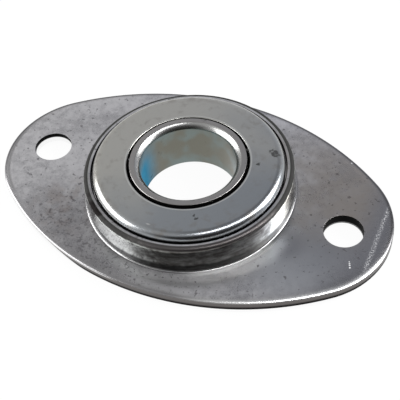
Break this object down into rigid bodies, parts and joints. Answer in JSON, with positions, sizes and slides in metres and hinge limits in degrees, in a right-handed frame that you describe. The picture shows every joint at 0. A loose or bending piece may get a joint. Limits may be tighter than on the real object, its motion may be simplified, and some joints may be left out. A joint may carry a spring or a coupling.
{
  "type": "flange mount bearing",
  "caption": "Oval pressed-steel flange with a drawn collar that holds a shielded ball bearing for a plain round shaft and bolts flat through a hole at each end.",
  "frame": {"origin": "on the bore's axis, in the plane of the inner ring's rear end, the lowest point of the part", "axes": "+Z along the bore's axis out of the front face, +X along the line of the two bolt holes"},
  "size_m": [0.1102, 0.0696, 0.0148],
  "materials": {
    "plate_steel": "bare pressed steel, satin, mottled with dark specks",
    "case_steel": "clear zinc plate, satin",
    "race_steel": "hardened, smooth",
    "ring_steel": "turned and zinc plated, satin",
    "ball_steel": "polished"
  },
  "bodies": {
    "housing": {"flange_plate": "plate_steel", "bearing_shell": "case_steel", "rear_shield": "case_steel", "outer_race_front": "race_steel", "outer_race_rear": "race_steel"},
    "inner_ring": {"inner_ring": "ring_steel"},
    "ball_set": {"ball_01": "ball_steel", "ball_02": "ball_steel", "ball_03": "ball_steel", "ball_04": "ball_steel", "ball_05": "ball_steel", "ball_06": "ball_steel", "ball_07": "ball_steel", "ball_08": "ball_steel", "ball_09": "ball_steel", "ball_10": "ball_steel", "ball_11": "ball_steel", "ball_12": "ball_steel", "ball_13": "ball_steel", "ball_14": "ball_steel", "ball_15": "ball_steel", "ball_16": "ball_steel", "ball_17": "ball_steel"}
  },
  "joints": [
    {"name": "inner_ring_spin", "type": "hinge", "parent": "housing", "child": "inner_ring", "pos_m": [0, 0, 0.0087], "axis": [0, 0, 1], "continuous": true},
    {"name": "ball_orbit", "type": "hinge", "parent": "housing", "child": "ball_set", "pos_m": [0, 0, 0.0087], "axis": [0, 0, 1], "continuous": true}
  ],
  "couplings": [
    {"joint": "ball_orbit", "follows": "inner_ring_spin", "ratio": 0.4113}
  ]
}
